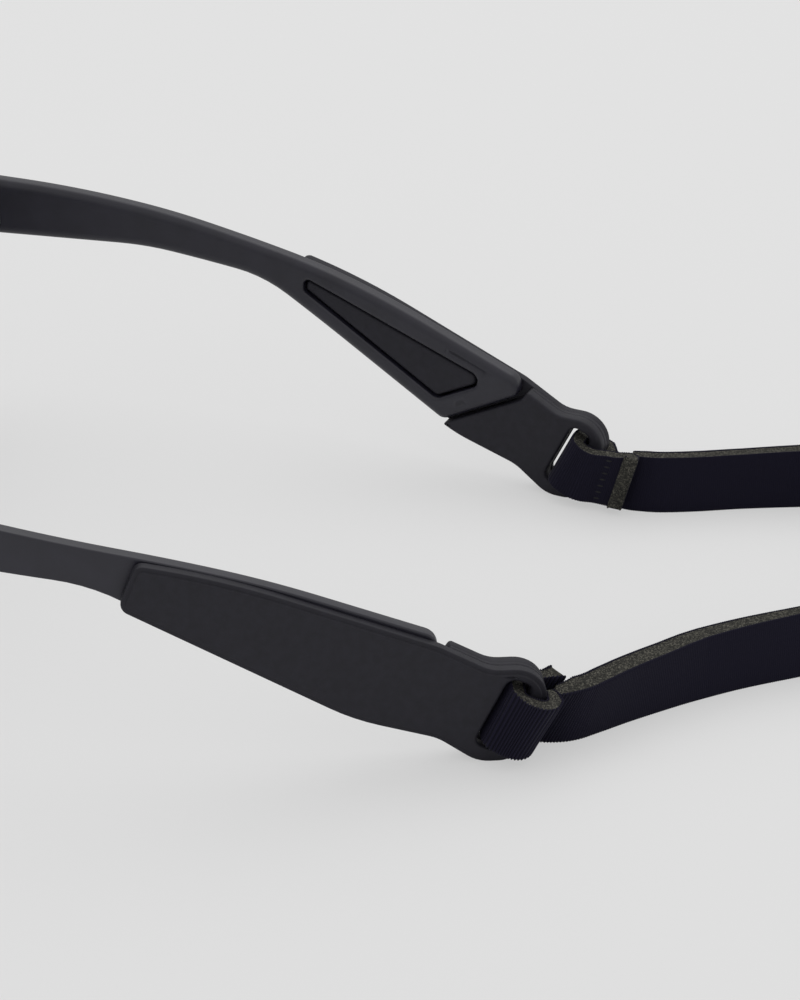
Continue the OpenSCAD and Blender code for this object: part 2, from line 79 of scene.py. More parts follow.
def new_material(name):
    """An empty material and its node tree"""
    material = bpy.data.materials.new(name)
    material.use_nodes = True
    material.node_tree.nodes.clear()
    return material, material.node_tree


camera = bpy.data.objects.new("camera", bpy.data.cameras.new("camera"))
camera.data.lens = LENS_MM
camera.data.sensor_width = SENSOR_MM
camera.location = CAMERA_AT
looking = Vector((-math.cos(CAMERA_TURN) * math.cos(CAMERA_TILT),
                  -math.sin(CAMERA_TURN) * math.cos(CAMERA_TILT),
                  -math.sin(CAMERA_TILT)))
camera.rotation_euler = looking.to_track_quat("-Z", "Y").to_euler()
scene.collection.objects.link(camera)
scene.camera = camera

lamp = bpy.data.objects.new("softbox", bpy.data.lights.new("softbox", "AREA"))
lamp.data.size = LAMP_SIZE
lamp.data.energy = LAMP_WATTS
lamp.location = LAMP_AT
lamp.rotation_euler = (-LAMP_AT).to_track_quat("-Z", "Y").to_euler()
scene.collection.objects.link(lamp)

scene.world = bpy.data.worlds.new("even sky")
scene.world.use_nodes = True
sky = scene.world.node_tree.nodes["Background"].inputs
sky["Color"].default_value = linear(TABLE_TONE)
sky["Strength"].default_value = 1.0

table_paint, tree = new_material("painted table, matte")
shader = add_node(tree, "ShaderNodeBsdfPrincipled",
                  {"Base Color": linear(TABLE_TONE), "Roughness": 0.9, "Specular IOR Level": 0.1})
# A camera sees the table partly by its own glow, so that the shadows on it stay light
glow = add_node(tree, "ShaderNodeEmission", {"Color": linear(TABLE_TONE), "Strength": 1.0})
seen = add_node(tree, "ShaderNodeMath", {1: TABLE_GLOW_SHARE},
                {0: add_node(tree, "ShaderNodeLightPath").outputs["Is Camera Ray"]},
                operation="MULTIPLY")
blend = add_node(tree, "ShaderNodeMixShader",
                 links={0: seen.outputs[0], 1: shader.outputs[0], 2: glow.outputs[0]})
add_node(tree, "ShaderNodeOutputMaterial", links={"Surface": blend.outputs[0]})
table_mesh = bpy.data.meshes.new("table")
table_mesh.from_pydata([(x * TABLE_HALF_M, y * TABLE_HALF_M, 0)
                        for x, y in ((-1, -1), (1, -1), (1, 1), (-1, 1))], [], [(0, 1, 2, 3)])
table_mesh.materials.append(table_paint)
table = bpy.data.objects.new("table", table_mesh)
scene.collection.objects.link(table)

# Front frame: a brow bar of injection-moulded nylon with an end piece for each hinge. The mould's
# spark-eroded face gives it a fine even grain and a satin look; its edges are a little rounded.
MM = 0.001
NYLON_FACE, NYLON_SHADE = "#201F2A", "#191822"
NYLON_MOTTLE_MM, NYLON_GRAIN_MM, NYLON_DEPTH_MM, NYLON_ROUGHNESS = 6.0, 0.16, 0.012, 0.42
MOTTLE_FROM, MOTTLE_TO, GLOSS_SPREAD = 0.3, 0.7, 0.06
BROW_EDGE_MM = 0.45
MERGE_M, FLAT_DEG, CREASE_DEG = 2e-6, 0.4, 40


def moulded(name, face, shade, mottle_mm, grain_mm, depth_mm, roughness, shine=0.5):
    """Moulded plastic or rubber: slow colour mottling and a fine grain in roughness and bump"""
    material, tree = new_material(name)
    place = add_node(tree, "ShaderNodeTexCoord").outputs["Object"]
    mottle = add_node(tree, "ShaderNodeTexNoise", {"Scale": 1 / (mottle_mm * MM), "Detail": 4},
                      {"Vector": place})
    grain = add_node(tree, "ShaderNodeTexNoise", {"Scale": 1 / (grain_mm * MM), "Detail": 2},
                     {"Vector": place})
    colour = add_node(tree, "ShaderNodeValToRGB", links={"Fac": mottle.outputs["Fac"]})
    for stop, at, tone in zip(colour.color_ramp.elements, (MOTTLE_FROM, MOTTLE_TO), (shade, face)):
        stop.position, stop.color = at, linear(tone)
    gloss = add_node(tree, "ShaderNodeMapRange",
                     {"To Min": roughness - GLOSS_SPREAD, "To Max": roughness + GLOSS_SPREAD},
                     {"Value": grain.outputs["Fac"]})
    bump = add_node(tree, "ShaderNodeBump", {"Strength": 0.5, "Distance": depth_mm * MM},
                    {"Height": grain.outputs["Fac"]})
    shader = add_node(tree, "ShaderNodeBsdfPrincipled", {"IOR": 1.5, "Specular IOR Level": shine},
                      {"Base Color": colour.outputs["Color"], "Roughness": gloss.outputs["Result"],
                       "Normal": bump.outputs["Normal"]})
    add_node(tree, "ShaderNodeOutputMaterial", links={"Surface": shader.outputs[0]})
    return material


def smoothed(mesh, sharp=None):
    """Smooth shading, with edges kept sharp above an angle in degrees"""
    mesh.polygons.foreach_set("use_smooth", [True] * len(mesh.polygons))
    if sharp:
        mesh.set_sharp_from_angle(angle=math.radians(sharp))
    mesh.update()
    return mesh


def modified(mesh, kind, **facts):
    """The mesh with one modifier applied"""
    carrier = bpy.data.objects.new("carrier", mesh)
    scene.collection.objects.link(carrier)
    modifier = carrier.modifiers.new("work", kind)
    for name, value in facts.items():
        setattr(modifier, name, value)
    graph = bpy.context.evaluated_depsgraph_get()
    result = bpy.data.meshes.new_from_object(carrier.evaluated_get(graph))
    bpy.data.objects.remove(carrier)
    return result


def edges_broken(node, width_mm, turn=30, segments=3):
    """A copy of a CAD node's mesh with its edges rounded by a width in mm"""
    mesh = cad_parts[node].data.copy()
    bm = bmesh.new()
    bm.from_mesh(mesh)
    bmesh.ops.remove_doubles(bm, verts=bm.verts, dist=MERGE_M)
    bmesh.ops.dissolve_limit(bm, angle_limit=math.radians(FLAT_DEG), verts=bm.verts,
                             edges=bm.edges)
    bm.to_mesh(mesh)
    bm.free()
    mesh.materials.clear()
    mesh = modified(mesh, "BEVEL", width=width_mm * MM, segments=segments, limit_method="ANGLE",
                    angle_limit=math.radians(turn), use_clamp_overlap=True)
    return smoothed(mesh, CREASE_DEG)


def fitted(name, mesh, material, body, slot, *nodes):
    """Puts a finished mesh in the scene as a piece on a body, standing for its CAD nodes"""
    if material:
        mesh.materials.clear()
        mesh.materials.append(material)
    piece = bpy.data.objects.new(name, mesh)
    scene.collection.objects.link(piece)
    if body:
        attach(piece, body)
    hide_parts(*nodes)
    return piece


nylon = moulded("injection-moulded nylon, satin grain", NYLON_FACE, NYLON_SHADE,
                NYLON_MOTTLE_MM, NYLON_GRAIN_MM, NYLON_DEPTH_MM, NYLON_ROUGHNESS)
fitted("front_frame_moulding", edges_broken("front_frame", BROW_EDGE_MM), nylon, "front",
       "frame_nylon", "front_frame")

# Lens: one shield of smoke polycarbonate, moulded and hard-coated, so it is dark and glossy. Its
# top edge sits in the brow bar's groove; the free edge is polished round.
LENS_SMOKE = "#3B3E44"
LENS_EDGE_MM, RIPPLE_MM = 0.5, 14
polycarbonate, tree = new_material("smoke polycarbonate, hard-coated")
ripple = add_node(tree, "ShaderNodeTexNoise", {"Scale": 1 / (RIPPLE_MM * MM), "Detail": 1},
                  {"Vector": add_node(tree, "ShaderNodeTexCoord").outputs["Object"]})
gloss = add_node(tree, "ShaderNodeMapRange", {"To Min": 0.03, "To Max": 0.07},
                 {"Value": ripple.outputs["Fac"]})
shader = add_node(tree, "ShaderNodeBsdfPrincipled",
                  {"Base Color": linear(LENS_SMOKE), "IOR": 1.585, "Transmission Weight": 0.8,
                   "Coat Weight": 0.4, "Coat Roughness": 0.03},
                  {"Roughness": gloss.outputs["Result"]})
add_node(tree, "ShaderNodeOutputMaterial", links={"Surface": shader.outputs[0]})
fitted("shield_lens_smoke", edges_broken("shield_lens", LENS_EDGE_MM), polycarbonate, "front",
       "smoke_lens", "shield_lens")

# Nose piece: a nylon saddle that grips the lens's cut-out, and two soft rubber pads on its inner
# faces. The pads are matte, and rounded all over so that they don't mark the nose.
PAD_FACE, PAD_SHADE = "#2B2B2D", "#222224"
BRIDGE_EDGE_MM, PAD_EDGE_MM = 0.35, 0.8
rubber = moulded("moulded silicone rubber, matte", PAD_FACE, PAD_SHADE, mottle_mm=2.5,
                 grain_mm=0.12, depth_mm=0.01, roughness=0.75)
fitted("nose_bridge_moulding", edges_broken("nose_bridge", BRIDGE_EDGE_MM), nylon, "front",
       "frame_nylon", "nose_bridge")
for side in ("left", "right"):
    fitted("nose_pad_" + side + "_rubber", edges_broken("nose_pad_" + side, PAD_EDGE_MM), rubber,
           "front", "soft_rubber", "nose_pad_" + side)

# Hinges: stamped stainless leaves with rolled knuckles on a slotted screw, nickel-plated dark.
# Brushing along the leaf stretches the grain; domed rivets hold each leaf to its moulding.
STEEL, BRUSH_FINE_MM, BRUSH_LONG_MM = "#8C8C8E", 1 / 5, 5 / 3
HINGE_Y_MM = -52.5798
AXIS_MM = Vector((68.6, HINGE_Y_MM, 48.0))
LEAF_T_MM, LEAF_EDGE_MM, RIVET_AT_MM, RIVET_RISE_MM = 0.8, 0.08, 3.4, 2.2
FRONT_FACE_MM, ARM_FACE_MM, ARM_TOE_DEG = 1.2, 1.19616, 3
HEAD_R_MM, HEAD_H_MM, SHANK_R_MM, SHANK_L_MM = 1.1, 0.42, 0.58, 2.4

steel, tree = new_material("brushed stainless steel, dark nickel")
place = add_node(tree, "ShaderNodeTexCoord").outputs["Object"]
fine, long = 1 / (BRUSH_FINE_MM * MM), 1 / (BRUSH_LONG_MM * MM)
along = add_node(tree, "ShaderNodeMapping", {"Scale": (fine, long, fine)}, {"Vector": place})
brushing = add_node(tree, "ShaderNodeTexNoise", {"Scale": 1.0, "Detail": 2},
                    {"Vector": along.outputs["Vector"]})
gloss = add_node(tree, "ShaderNodeMapRange", {"To Min": 0.24, "To Max": 0.42},
                 {"Value": brushing.outputs["Fac"]})
bump = add_node(tree, "ShaderNodeBump", {"Strength": 0.25, "Distance": 0.01 * MM},
                {"Height": brushing.outputs["Fac"]})
shader = add_node(tree, "ShaderNodeBsdfPrincipled",
                  {"Base Color": linear(STEEL), "Metallic": 1.0},
                  {"Roughness": gloss.outputs["Result"], "Normal": bump.outputs["Normal"]})
add_node(tree, "ShaderNodeOutputMaterial", links={"Surface": shader.outputs[0]})


def new_tree(name, sizes):
    """A geometry tree with named sizes, and the node that gives them"""
    tree = bpy.data.node_groups.new(name, "GeometryNodeTree")
    tree.interface.new_socket("Geometry", in_out="INPUT", socket_type="NodeSocketGeometry")
    for size, kind in sizes.items():
        tree.interface.new_socket(size, in_out="INPUT", socket_type="NodeSocket" + kind)
    tree.interface.new_socket("Geometry", in_out="OUTPUT", socket_type="NodeSocketGeometry")
    return tree, add_node(tree, "NodeGroupInput").outputs


def end_tree(tree, geometry, material):
    """Ends a geometry tree in plain geometry with its material"""
    plain = add_node(tree, "GeometryNodeRealizeInstances", links={"Geometry": geometry})
    painted = add_node(tree, "GeometryNodeSetMaterial", {"Material": material},
                       {"Geometry": plain.outputs[0]})
    add_node(tree, "NodeGroupOutput", links={"Geometry": painted.outputs[0]})


def grown(tree, sizes, mesh=None):
    """Runs a geometry tree with its sizes by name, and gives the plain mesh that comes out"""
    carrier = bpy.data.objects.new("carrier", mesh or bpy.data.meshes.new("seed"))
    scene.collection.objects.link(carrier)
    modifier = carrier.modifiers.new("grow", "NODES")
    modifier.node_group = tree
    for item in tree.interface.items_tree:
        if item.in_out == "INPUT" and item.name in sizes:
            modifier[item.identifier] = sizes[item.name]
    graph = bpy.context.evaluated_depsgraph_get()
    result = bpy.data.meshes.new_from_object(carrier.evaluated_get(graph))
    bpy.data.objects.remove(carrier)
    return result


rivet_tree, size = new_tree("rivet pair", {"Spacing": "Float", "Head radius": "Float",
                                           "Head height": "Float", "Shank radius": "Float",
                                           "Shank length": "Float"})
offset = add_node(rivet_tree, "ShaderNodeCombineXYZ", links={"Z": size["Spacing"]})
spots = add_node(rivet_tree, "GeometryNodeMeshLine", {"Count": 2},
                 {"Offset": offset.outputs[0]})
dome = add_node(rivet_tree, "GeometryNodeMeshUVSphere",
                {"Segments": 32, "Rings": 16, "Radius": 1.0})
dome_size = add_node(rivet_tree, "ShaderNodeCombineXYZ",
                     links={"X": size["Head height"], "Y": size["Head radius"],
                            "Z": size["Head radius"]})
head = add_node(rivet_tree, "GeometryNodeTransform",
                links={"Geometry": dome.outputs["Mesh"], "Scale": dome_size.outputs[0]})
rod = add_node(rivet_tree, "GeometryNodeMeshCylinder", {"Vertices": 24},
               {"Radius": size["Shank radius"], "Depth": size["Shank length"]})
half = add_node(rivet_tree, "ShaderNodeMath", {1: 0.5}, {0: size["Shank length"]},
                operation="MULTIPLY")
shift = add_node(rivet_tree, "ShaderNodeCombineXYZ", links={"X": half.outputs[0]})
shank = add_node(rivet_tree, "GeometryNodeTransform", {"Rotation": (0, math.pi / 2, 0)},
                 {"Geometry": rod.outputs["Mesh"], "Translation": shift.outputs[0]})
rivet = add_node(rivet_tree, "GeometryNodeJoinGeometry", links={"Geometry": head.outputs[0]})
rivet_tree.links.new(shank.outputs[0], rivet.inputs["Geometry"])
pair = add_node(rivet_tree, "GeometryNodeInstanceOnPoints",
                links={"Points": spots.outputs["Mesh"], "Instance": rivet.outputs[0]})
end_tree(rivet_tree, pair.outputs[0], steel)


def rivet_pair(way, mirror):
    """Two rivets of one leaf, behind the axis (1) or in front of it (-1)"""
    mesh = grown(rivet_tree, {"Spacing": 2 * RIVET_RISE_MM * MM, "Head radius": HEAD_R_MM * MM,
                              "Head height": HEAD_H_MM * MM, "Shank radius": SHANK_R_MM * MM,
                              "Shank length": SHANK_L_MM * MM})
    face = ARM_FACE_MM if way > 0 else FRONT_FACE_MM
    turn = ARM_TOE_DEG if way > 0 else 0
    head_at = Vector((face - LEAF_T_MM, way * RIVET_AT_MM, -RIVET_RISE_MM)) * MM
    mesh.transform(Matrix.Translation(AXIS_MM * MM) @ Matrix.Rotation(math.radians(turn), 4, "Z")
                   @ Matrix.Translation(head_at))
    if mirror:
        mesh.transform(Matrix.Scale(-1, 4, (1, 0, 0)))
        mesh.flip_normals()
    return mesh


def joined(meshes):
    """Several meshes made one"""
    bm = bmesh.new()
    for mesh in meshes:
        bm.from_mesh(mesh)
    result = bpy.data.meshes.new("joined")
    bm.to_mesh(result)
    bm.free()
    return result


front_rivets = joined([rivet_pair(-1, False), rivet_pair(-1, True)])
fitted("front_rivets_steel", smoothed(front_rivets, CREASE_DEG), steel, "front", "hinge_steel",
       "front_rivets")
for side in ("left", "right"):
    fitted("temple_rivets_" + side + "_steel",
           smoothed(rivet_pair(1, side == "right"), CREASE_DEG), steel, "arm_" + side,
           "hinge_steel", "temple_rivets_" + side)
    for part, body in (("front_leaf_", "front"), ("temple_leaf_", "arm_" + side),
                       ("hinge_screw_", "front")):
        fitted(part + side + "_steel", edges_broken(part + side, LEAF_EDGE_MM, segments=2),
               steel, body, "hinge_steel", part + side)

# Arms: injection-moulded nylon like the front. Each starts flat and low at the hinge, bends
# inward and widens to a tip with a triangular window; the inner top edge is rounded for the head.
HINGE_X_MM, TIP_RUN_MM = 71.4, 131.0
TOE_FRONT, TOE_REAR, BEND_START_MM, BEND_R_MM = math.radians(3), math.radians(15), 38.0, 230.0
ARM_T_MM = 3.2
ARM_INNER_EDGE_MM, ARM_INNER_DEEP_MM, ARM_OUTER_EDGE_MM = 1.9, 1.25, 0.35
RELIEF_R_MM, RELIEF_LOW_MM, RELIEF_H_MM = 1.95, 43.35, 13.0
WINDOW_BEVEL_MM, WINDOW_BEVEL_DEEP_MM, WINDOW_EDGE_MM = 0.8, 0.45, 0.3
LEAST_R_MM, ARC_STEP, ARM_CREASE_DEG = 0.12, math.radians(8), 50
CAP_SPACING_MM, CAP_CLEAR, WELD_M, SUPPORT_MM = 3.0, 0.45, 1e-6, 0.15
BEND_END_MM = BEND_START_MM + BEND_R_MM * (math.sin(TOE_REAR) - math.sin(TOE_FRONT))
BEND_X_MM = HINGE_X_MM - BEND_START_MM * math.tan(TOE_FRONT)
STRAIGHT_X_MM = BEND_X_MM - BEND_R_MM * (math.cos(TOE_FRONT) - math.cos(TOE_REAR))
HALF_T = ARM_T_MM / 2


def behind(u):
    """Distance behind the hinge of a point of the tip, given along the tip"""
    return TIP_RUN_MM + u * math.cos(TOE_REAR)


ARM_OUTLINE = [(0.15, 41.5, 0.8), (38, 41.8, 80), (65, 37.8, 30), (behind(-25.9), 12.2, 2.2),
               (behind(-9), 21.2, 2), (behind(-8.1), 24.9, 3.2), (87, 39.9, 200),
               (30.6, 52.7, 250), (0.15, 54.5, 0.8)]
WINDOW_OUTLINE = [(-58.7, 36.2, 1.2), (-27.3, 17, 2), (-14.9, 23.3, 2), (-58.4, 39.4, 1.2)]


def rounded(corners, grow=0.0, spacing=2.5):
    """Points round an outline of corners (across, up, radius), moved outward by grow, in mm.
    The number of points is the same for every grow, so rings of one outline join up."""
    flat = [Vector(corner[:2]) for corner in corners]
    ways = [(after - at).normalized() for at, after in zip(flat, flat[1:] + flat[:1])]
    bends = []
    for i, (at, (_, _, size)) in enumerate(zip(flat, corners)):
        a, b = ways[i - 1], ways[i]
        turn = math.atan2(a.x * b.y - a.y * b.x, a.dot(b))
        side = math.copysign(1, turn)
        inward = Vector((-a.y - b.y, a.x + b.x)) / (1 + a.dot(b))
        radius = max(LEAST_R_MM, size + grow * side)
        start = (at - grow * inward) - a * radius * math.tan(abs(turn) / 2)
        centre = start + Vector((-a.y, a.x)) * radius * side
        reach = Vector((a.y, -a.x)) * radius * side
        steps = max(4, math.ceil(abs(turn) / ARC_STEP), math.ceil(size * abs(turn) / spacing))
        arc = [centre + Vector((reach.x * math.cos(t) - reach.y * math.sin(t),
                                reach.x * math.sin(t) + reach.y * math.cos(t)))
               for t in (turn * k / steps for k in range(steps + 1))]
        bends.append((size * math.tan(abs(turn) / 2), start, arc))
    points = []
    for i, (tangent, _, arc) in enumerate(bends):
        following = (i + 1) % len(bends)
        next_tangent, next_start, _ = bends[following]
        run = (flat[following] - flat[i]).length - tangent - next_tangent
        pieces = max(1, round(run / spacing))
        points += arc + [arc[-1].lerp(next_start, k / pieces) for k in range(1, pieces)]
    return points


def inside(point, loops):
    """Whether a point is in the area between an outline and its holes"""
    odd = False
    for loop in loops:
        for i, b in enumerate(loop):
            a = loop[i - 1]
            if (a.y > point.y) != (b.y > point.y):
                if point.x < (b.x - a.x) * (point.y - a.y) / (b.y - a.y) + a.x:
                    odd = not odd
    return odd


def add_cap(bm, rings, height, place, spacing=CAP_SPACING_MM):
    """Closes a face between an outline and its holes with points over its middle"""
    flats = [[p for p, _ in ring] for ring in rings]
    points, owners, edges = [], [], []
    for ring in rings:
        start = len(points)
        points += [p for p, _ in ring]
        owners += [v for _, v in ring]
        edges += [(start + i, start + (i + 1) % len(ring)) for i in range(len(ring))]
    low = Vector((min(p.x for p in flats[0]), min(p.y for p in flats[0])))
    high = Vector((max(p.x for p in flats[0]), max(p.y for p in flats[0])))
    border = list(points)
    for i in range(int((high.x - low.x) / spacing) + 1):
        for j in range(int((high.y - low.y) / spacing) + 1):
            p = low + Vector((i + 0.5, j + 0.5)) * spacing
            if inside(p, flats) and min((p - q).length for q in border) > CAP_CLEAR * spacing:
                points.append(p)
    made, _, faces, origins, _, _ = delaunay_2d_cdt(points, edges, [], 0, WELD_M)
    verts = []
    for p, origin in zip(made, origins):
        owner = next((owners[k] for k in origin if k < len(owners)), None)
        verts.append(owner or bm.verts.new(place(p.x, p.y, height)))
    for face in faces:
        centre = sum((made[k] for k in face), Vector((0, 0))) / len(face)
        if inside(centre, flats):
            bm.faces.new([verts[k] for k in face])


def add_plate(bm, corners, rings, place, holes=()):
    """Adds a moulded plate. rings are (grow, height) in mm, from one face round the edge to the
    other; holes are (corners, rings) that start and end at the same heights."""
    firsts, lasts = [], []
    for outline, steps in [(corners, rings), *holes]:
        layers = [[(p, bm.verts.new(place(p.x, p.y, height))) for p in rounded(outline, grow)]
                  for grow, height in steps]
        for one, two in zip(layers, layers[1:]):
            for i in range(len(one)):
                bm.faces.new((one[i - 1][1], two[i - 1][1], two[i][1], one[i][1]))
        firsts.append(layers[0])
        lasts.append(layers[-1])
    add_cap(bm, firsts, rings[0][1], place)
    add_cap(bm, lasts, rings[-1][1], place)


def edge_rings(grow, height, radius, down=True, hole=False, steps=4, support=0.25, wide=None):
    """Rings that round the edge between a flat face at a height and a wall at grow, by a radius
    down the wall and as much, or wide, over the face"""
    sign = -1 if down else 1
    out = -1 if hole else 1
    wide = wide or radius
    arc = [(grow - out * wide * (1 - math.sin(math.radians(90 * k / steps))),
            height + sign * radius * (1 - math.cos(math.radians(90 * k / steps))))
           for k in range(steps + 1)]
    rings = [(grow - out * (wide + support), height)] + arc
    return rings if down else rings[::-1]


def closed(bm, name):
    """Finishes a bmesh whose shells are all closed, with its faces outward"""
    bmesh.ops.remove_doubles(bm, verts=bm.verts, dist=WELD_M)
    bmesh.ops.recalc_face_normals(bm, faces=bm.faces)
    mesh = bpy.data.meshes.new(name)
    bm.to_mesh(mesh)
    bm.free()
    return mesh


def on_arm(hand):
    """Places distance behind the hinge, height and distance outward on one arm"""
    def place(s, z, n):
        if s <= BEND_START_MM:
            toe, x = TOE_FRONT, HINGE_X_MM - s * math.tan(TOE_FRONT)
        elif s >= BEND_END_MM:
            toe, x = TOE_REAR, STRAIGHT_X_MM - (s - BEND_END_MM) * math.tan(TOE_REAR)
        else:
            toe = math.asin(math.sin(TOE_FRONT) + (s - BEND_START_MM) / BEND_R_MM)
            x = BEND_X_MM - BEND_R_MM * (math.cos(TOE_FRONT) - math.cos(toe))
        return Vector((hand * (x + n * math.cos(toe)), HINGE_Y_MM + s + n * math.sin(toe), z)) * MM
    return place


arm_rings = (edge_rings(0, HALF_T, ARM_OUTER_EDGE_MM)
             + edge_rings(0, -HALF_T, ARM_INNER_DEEP_MM, down=False, steps=8,
                          support=SUPPORT_MM, wide=ARM_INNER_EDGE_MM))
window_rings = (edge_rings(0, HALF_T, WINDOW_EDGE_MM, hole=True)
                + edge_rings(0, -HALF_T, WINDOW_BEVEL_DEEP_MM, down=False, hole=True, steps=5,
                             support=SUPPORT_MM, wide=WINDOW_BEVEL_MM))
window_on_arm = [(behind(u), z, r) for u, z, r in WINDOW_OUTLINE]
for side, hand in (("left", 1), ("right", -1)):
    bm = bmesh.new()
    add_plate(bm, ARM_OUTLINE, arm_rings, on_arm(hand), [(window_on_arm, window_rings)])
    arm_mesh = closed(bm, "temple_" + side)
    # The arm's front end is hollowed round the hinge's barrel
    bm = bmesh.new()
    bmesh.ops.create_cone(bm, cap_ends=True, segments=64, radius1=RELIEF_R_MM * MM,
                          radius2=RELIEF_R_MM * MM, depth=RELIEF_H_MM * MM)
    cutter = bpy.data.objects.new("relief", closed(bm, "relief"))
    cutter.data.transform(Matrix.Translation(Vector(
        (hand * AXIS_MM.x, AXIS_MM.y, RELIEF_LOW_MM + RELIEF_H_MM / 2)) * MM))
    scene.collection.objects.link(cutter)
    arm_mesh = modified(arm_mesh, "BOOLEAN", operation="DIFFERENCE", object=cutter,
                        solver="EXACT")
    bpy.data.objects.remove(cutter)
    fitted("temple_" + side + "_moulding", smoothed(arm_mesh, ARM_CREASE_DEG), nylon,
           "arm_" + side, "frame_nylon", "temple_" + side)

# Strap adapters: matte thermoplastic rubber. An outer plate with a stepped rim lies on the arm, a
# triangular boss plugs into the arm's window, and a slotted tongue behind it holds the strap.
RUBBER_FACE, RUBBER_SHADE, RUBBER_SHINE = "#1D1C25", "#17161E", 0.36
TIP_X_MM, TIP_Y_MM, TONGUE_TOP_MM = 49.6926, 78.4202, 18.9
PLATE_LOW_MM, PLATE_TOP_MM, RIM_MM, RIM_STEP_MM = 1.62, 3.7, 0.95, 0.3
SLOT_W_MM, SLOT_L_MM, SLOT_R_MM, BAR_W_MM = 4.8, 14.6, 1.7, 3.7
SLOT_LEAN = math.radians(25.5)
SLOT_FOOT = Vector((-2.4, 4.1))
SLOT_BACK = Vector((math.cos(SLOT_LEAN), -math.sin(SLOT_LEAN)))
SLOT_UP = Vector((math.sin(SLOT_LEAN), math.cos(SLOT_LEAN)))
BOSS_RECESS_MM, WINDOW_GAP_MM, BOSS_EDGE_MM = 0.4, 0.5, 0.85
SLOT_EDGE_MM, PLATE_FOOT_EDGE_MM, LAYER_EDGE_MM = 0.55, 0.12, 0.6
LAYER_GROW_MM, LAYER_SLOT_GROW_MM = -0.02, 0.03
GROOVE_AT_MM, GROOVE_HALF_MM, GROOVE_GROW_MM = 0.6, 0.13, -0.09


def in_slot(across, up):
    """A point of the leaning slot in the tip's own frame"""
    return SLOT_FOOT + across * SLOT_BACK + up * SLOT_UP


def bar_edge(height):
    """Point of the rear bar's free edge at a height above the table"""
    low = in_slot(SLOT_W_MM + BAR_W_MM, 0)
    return low + SLOT_UP * (height - low.y) / SLOT_UP.y


TONGUE = [(-8.8, 5.4, 9), (-1.6, 0, 7), (*bar_edge(0), 4.5), (*bar_edge(TONGUE_TOP_MM), 6),
          (0.6, TONGUE_TOP_MM, 7)]
PLATE_OUTLINE = [(-63.6, 34.4, 2.2), (-23.6, 10, 40), *TONGUE, (-8.6, 24.2, 12),
                 (-45.6, 39.3, 150), (-60.2, 42.8, 1.8)]
LAYER_OUTLINE = [(-25.8, 11.45, 0.3), (-22.49, 9.67, 30), *TONGUE, (-6.4, 22.9, 0.7),
                 (-7.97, 20.58, 1.2)]
SLOT_OUTLINE = [(*in_slot(across, up), SLOT_R_MM) for across, up in
                ((0, 0), (SLOT_W_MM, 0), (SLOT_W_MM, SLOT_L_MM), (0, SLOT_L_MM))]


def on_tip(hand):
    """Places rearward, up and outward of the straight tip on one arm"""
    def place(u, z, n):
        return Vector((hand * (TIP_X_MM - u * math.sin(TOE_REAR) + n * math.cos(TOE_REAR)),
                       TIP_Y_MM + u * math.cos(TOE_REAR) + n * math.sin(TOE_REAR), z)) * MM
    return place


# The tongue's layer and the boss end a little way inside the plate, so that the three are one
JOIN_MM = PLATE_LOW_MM + 0.12
rim_top = PLATE_TOP_MM - RIM_STEP_MM
# Rings as (grow, height): the plate's face, the step down to its rim, and its rounded outer edge
plate_rings = ([(-RIM_MM - 0.5, PLATE_TOP_MM), (-RIM_MM - 0.14, PLATE_TOP_MM),
                (-RIM_MM - 0.12, PLATE_TOP_MM), (-RIM_MM - 0.06, PLATE_TOP_MM - 0.03),
                (-RIM_MM + 0.04, rim_top + 0.03), (-RIM_MM + 0.1, rim_top),
                (-RIM_MM + 0.12, rim_top), (-0.2, rim_top), (-0.18, rim_top),
                (-0.09, rim_top - 0.03), (-0.03, rim_top - 0.09), (0.0, rim_top - 0.18),
                (0.0, rim_top - 0.2)]
               + edge_rings(0, PLATE_LOW_MM, PLATE_FOOT_EDGE_MM, down=False, steps=2))
plate_hole = edge_rings(0, PLATE_TOP_MM, SLOT_EDGE_MM, hole=True) + [(0.0, PLATE_LOW_MM)]
layer_rings = ([(-0.3, JOIN_MM), (LAYER_GROW_MM, JOIN_MM),
                (LAYER_GROW_MM, GROOVE_AT_MM + GROOVE_HALF_MM), (GROOVE_GROW_MM, GROOVE_AT_MM),
                (LAYER_GROW_MM, GROOVE_AT_MM - GROOVE_HALF_MM)]
               + edge_rings(LAYER_GROW_MM, -HALF_T, LAYER_EDGE_MM, down=False))
layer_hole = ([(LAYER_SLOT_GROW_MM, JOIN_MM), (LAYER_SLOT_GROW_MM, -0.4)]
              + edge_rings(LAYER_SLOT_GROW_MM, -HALF_T, LAYER_EDGE_MM, down=False, hole=True))
boss_rings = ([(-WINDOW_GAP_MM, JOIN_MM)]
              + edge_rings(-WINDOW_GAP_MM, -HALF_T + BOSS_RECESS_MM, BOSS_EDGE_MM, down=False))
tpr = moulded("thermoplastic rubber, matte mottled", RUBBER_FACE, RUBBER_SHADE, mottle_mm=1.6,
              grain_mm=0.22, depth_mm=0.014, roughness=0.62, shine=RUBBER_SHINE)
for side, hand in (("left", 1), ("right", -1)):
    bm = bmesh.new()
    place = on_tip(hand)
    add_plate(bm, PLATE_OUTLINE, plate_rings, place, [(SLOT_OUTLINE, plate_hole)])
    add_plate(bm, LAYER_OUTLINE, layer_rings, place, [(SLOT_OUTLINE, layer_hole)])
    add_plate(bm, WINDOW_OUTLINE, boss_rings, place)
    fitted("adapter_" + side + "_rubber", smoothed(closed(bm, "adapter_" + side)), tpr,
           "arm_" + side, "adapter_rubber", "adapter_" + side)

